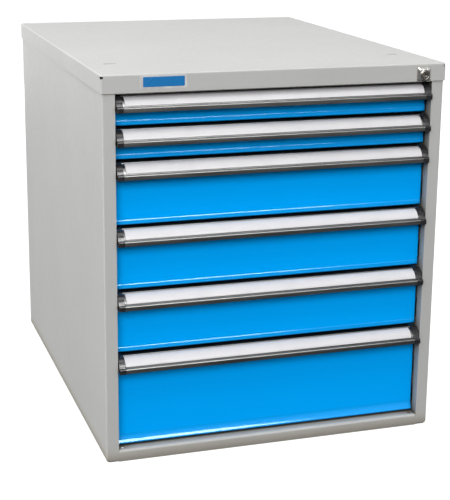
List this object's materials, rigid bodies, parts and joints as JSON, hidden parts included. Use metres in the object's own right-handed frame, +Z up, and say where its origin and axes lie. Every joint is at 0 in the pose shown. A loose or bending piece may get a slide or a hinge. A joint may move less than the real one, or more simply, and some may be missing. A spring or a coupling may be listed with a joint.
{
  "type": "drawer cabinet",
  "caption": "Free-standing sheet-steel drawer cabinet with full-extension drawers, label-strip grip handles, telescopic runners and a central lock bar.",
  "frame": {"origin": "centre of the footprint of the closed cabinet's box, on the floor", "axes": "+Z up; +Y towards the back, so the drawers open along -Y; +X to the right seen from the front"},
  "size_m": [0.545, 0.6954, 0.6],
  "materials": {
    "casing_paint": "light grey powder coat, fine texture",
    "tray_paint": "light grey powder coat",
    "front_paint": "bright blue powder coat, satin",
    "label_strip": "clear-faced white label strip",
    "handle_metal": "dark satin extrusion",
    "cap_plastic": "black moulded plastic",
    "runner_zinc": "bright zinc plate",
    "rivet_metal": "plain",
    "lock_chrome": "polished",
    "lock_steel": "satin nickel"
  },
  "bodies": {
    "casing": {"side_wall_left": "casing_paint", "side_wall_right": "casing_paint", "base_panel": "casing_paint", "back_panel": "casing_paint", "top_cover": "casing_paint", "top_rail": "casing_paint", "upright_front_left": "casing_paint", "upright_front_right": "casing_paint", "upright_rear_left": "casing_paint", "upright_rear_right": "casing_paint", "back_panel_rivets": "rivet_metal", "fixed_rails": "runner_zinc", "lock_escutcheon": "lock_chrome", "lock_housing": "lock_steel", "lock_bar_guides": "runner_zinc"},
    "lock_plug": {"lock_core": "lock_steel", "lock_cam": "lock_steel"},
    "lock_bar": {"lock_bar": "runner_zinc"},
    "drawer_1": {"drawer_1_tray": "tray_paint", "drawer_1_front": "front_paint", "drawer_1_handle": "handle_metal", "drawer_1_label": "label_strip", "drawer_1_end_caps": "cap_plastic", "drawer_1_rails": "runner_zinc"},
    "runner_1": {"drawer_1_middle_rails": "runner_zinc"},
    "drawer_2": {"drawer_2_tray": "tray_paint", "drawer_2_front": "front_paint", "drawer_2_handle": "handle_metal", "drawer_2_label": "label_strip", "drawer_2_end_caps": "cap_plastic", "drawer_2_rails": "runner_zinc"},
    "runner_2": {"drawer_2_middle_rails": "runner_zinc"},
    "drawer_3": {"drawer_3_tray": "tray_paint", "drawer_3_front": "front_paint", "drawer_3_handle": "handle_metal", "drawer_3_label": "label_strip", "drawer_3_end_caps": "cap_plastic", "drawer_3_rails": "runner_zinc"},
    "runner_3": {"drawer_3_middle_rails": "runner_zinc"},
    "drawer_4": {"drawer_4_tray": "tray_paint", "drawer_4_front": "front_paint", "drawer_4_handle": "handle_metal", "drawer_4_label": "label_strip", "drawer_4_end_caps": "cap_plastic", "drawer_4_rails": "runner_zinc"},
    "runner_4": {"drawer_4_middle_rails": "runner_zinc"},
    "drawer_5": {"drawer_5_tray": "tray_paint", "drawer_5_front": "front_paint", "drawer_5_handle": "handle_metal", "drawer_5_label": "label_strip", "drawer_5_end_caps": "cap_plastic", "drawer_5_rails": "runner_zinc"},
    "runner_5": {"drawer_5_middle_rails": "runner_zinc"},
    "drawer_6": {"drawer_6_tray": "tray_paint", "drawer_6_front": "front_paint", "drawer_6_handle": "handle_metal", "drawer_6_label": "label_strip", "drawer_6_end_caps": "cap_plastic", "drawer_6_rails": "runner_zinc"},
    "runner_6": {"drawer_6_middle_rails": "runner_zinc"}
  },
  "joints": [
    {"name": "lock_turn", "type": "hinge", "parent": "casing", "child": "lock_plug", "pos_m": [0.2355, -0.3403, 0.5832], "axis": [0, 1, 0], "range_deg": [0, 90]},
    {"name": "lock_bar_drop", "type": "slide", "parent": "casing", "child": "lock_bar", "axis": [0, 0, -1], "range_m": [0, 0.0062]},
    {"name": "drawer_1_slide", "type": "slide", "parent": "casing", "child": "drawer_1", "axis": [0, -1, 0], "range_m": [0, 0.6]},
    {"name": "runner_1_slide", "type": "slide", "parent": "casing", "child": "runner_1", "axis": [0, -1, 0], "range_m": [0, 0.3]},
    {"name": "drawer_2_slide", "type": "slide", "parent": "casing", "child": "drawer_2", "axis": [0, -1, 0], "range_m": [0, 0.6]},
    {"name": "runner_2_slide", "type": "slide", "parent": "casing", "child": "runner_2", "axis": [0, -1, 0], "range_m": [0, 0.3]},
    {"name": "drawer_3_slide", "type": "slide", "parent": "casing", "child": "drawer_3", "axis": [0, -1, 0], "range_m": [0, 0.6]},
    {"name": "runner_3_slide", "type": "slide", "parent": "casing", "child": "runner_3", "axis": [0, -1, 0], "range_m": [0, 0.3]},
    {"name": "drawer_4_slide", "type": "slide", "parent": "casing", "child": "drawer_4", "axis": [0, -1, 0], "range_m": [0, 0.6]},
    {"name": "runner_4_slide", "type": "slide", "parent": "casing", "child": "runner_4", "axis": [0, -1, 0], "range_m": [0, 0.3]},
    {"name": "drawer_5_slide", "type": "slide", "parent": "casing", "child": "drawer_5", "axis": [0, -1, 0], "range_m": [0, 0.6]},
    {"name": "runner_5_slide", "type": "slide", "parent": "casing", "child": "runner_5", "axis": [0, -1, 0], "range_m": [0, 0.3]},
    {"name": "drawer_6_slide", "type": "slide", "parent": "casing", "child": "drawer_6", "axis": [0, -1, 0], "range_m": [0, 0.6]},
    {"name": "runner_6_slide", "type": "slide", "parent": "casing", "child": "runner_6", "axis": [0, -1, 0], "range_m": [0, 0.3]}
  ],
  "couplings": [
    {"joint": "lock_bar_drop", "follows": "lock_turn", "m_per_rad": 0.0038261},
    {"joint": "runner_1_slide", "follows": "drawer_1_slide", "ratio": 0.5},
    {"joint": "runner_2_slide", "follows": "drawer_2_slide", "ratio": 0.5},
    {"joint": "runner_3_slide", "follows": "drawer_3_slide", "ratio": 0.5},
    {"joint": "runner_4_slide", "follows": "drawer_4_slide", "ratio": 0.5},
    {"joint": "runner_5_slide", "follows": "drawer_5_slide", "ratio": 0.5},
    {"joint": "runner_6_slide", "follows": "drawer_6_slide", "ratio": 0.5}
  ]
}
